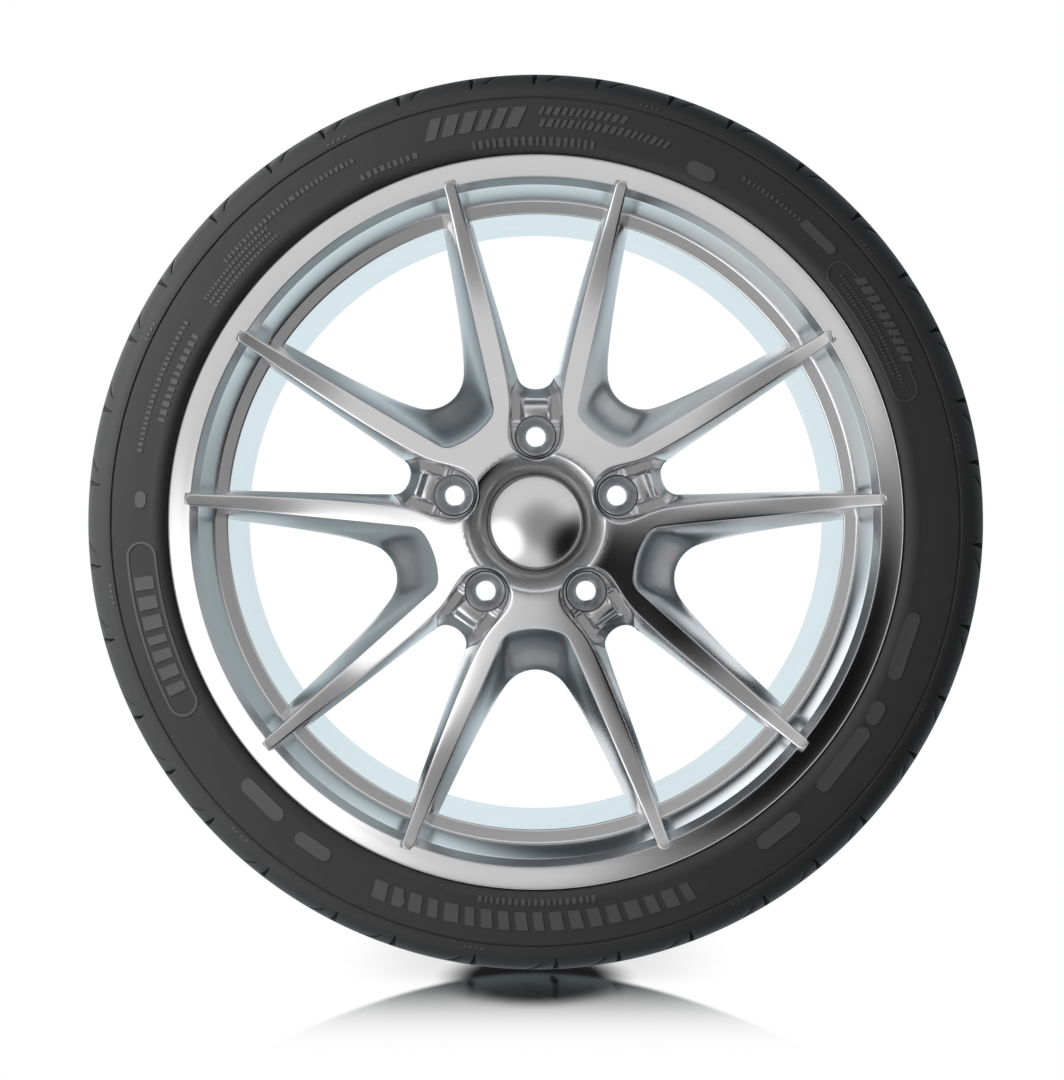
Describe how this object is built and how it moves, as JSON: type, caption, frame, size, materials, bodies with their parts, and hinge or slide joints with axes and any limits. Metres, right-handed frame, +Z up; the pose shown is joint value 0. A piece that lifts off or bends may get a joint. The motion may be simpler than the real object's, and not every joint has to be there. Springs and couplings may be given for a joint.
{
  "type": "summer tyre on alloy wheel",
  "caption": "Low-profile summer tyre mounted on a twin-spoke cast alloy wheel, with a snap-in centre cap and a clamp-in valve.",
  "frame": {"origin": "wheel centre: the wheel's axis at the rim's centre line", "axes": "+Y along the wheel's axis towards the hub side, the outer face looks to -Y, +Z up as the wheel stands"},
  "size_m": [0.6794, 0.248, 0.6794],
  "materials": {
    "tyre_rubber": "matte",
    "wheel_silver": "satin",
    "cap_silver": "satin",
    "spring_steel": "satin",
    "valve_alloy": "satin",
    "seal_rubber": "matte",
    "brass": "satin",
    "black_plastic": "matte"
  },
  "bodies": {
    "wheel_body": {"tyre": "tyre_rubber", "wheel": "wheel_silver", "valve_stem": "valve_alloy", "valve_grommet": "seal_rubber", "valve_washer": "spring_steel", "valve_nut": "valve_alloy", "valve_core": "brass", "valve_core_seal": "seal_rubber"},
    "centre_cap_body": {"centre_cap": "cap_silver", "cap_spring_ring": "spring_steel"},
    "valve_pin_body": {"valve_pin": "brass", "valve_spring": "spring_steel"},
    "valve_seal_body": {"valve_cap_seal": "seal_rubber"},
    "valve_cap_body": {"valve_cap": "black_plastic"}
  },
  "joints": [
    {"name": "centre_cap_pull", "type": "slide", "parent": "wheel_body", "child": "centre_cap_body", "axis": [0, -1, 0], "range_m": [0, 0.03]},
    {"name": "valve_pin_press", "type": "slide", "parent": "wheel_body", "child": "valve_pin_body", "axis": [0.3649, 0, -0.9311], "range_m": [0, 0.0012], "stiffness_N_per_m": 1500, "springref_m": -0.0015},
    {"name": "valve_cap_lift", "type": "slide", "parent": "wheel_body", "child": "valve_seal_body", "axis": [-0.3649, 0, 0.9311], "range_m": [0, 0.01032]},
    {"name": "valve_cap_turn", "type": "hinge", "parent": "valve_seal_body", "child": "valve_cap_body", "pos_m": [0.08476, -0.0437, -0.21628], "axis": [-0.3649, 0, 0.9311], "range_deg": [0, 4680]}
  ],
  "couplings": [
    {"joint": "valve_cap_turn", "follows": "valve_cap_lift", "rad_per_m": 7913.3}
  ]
}
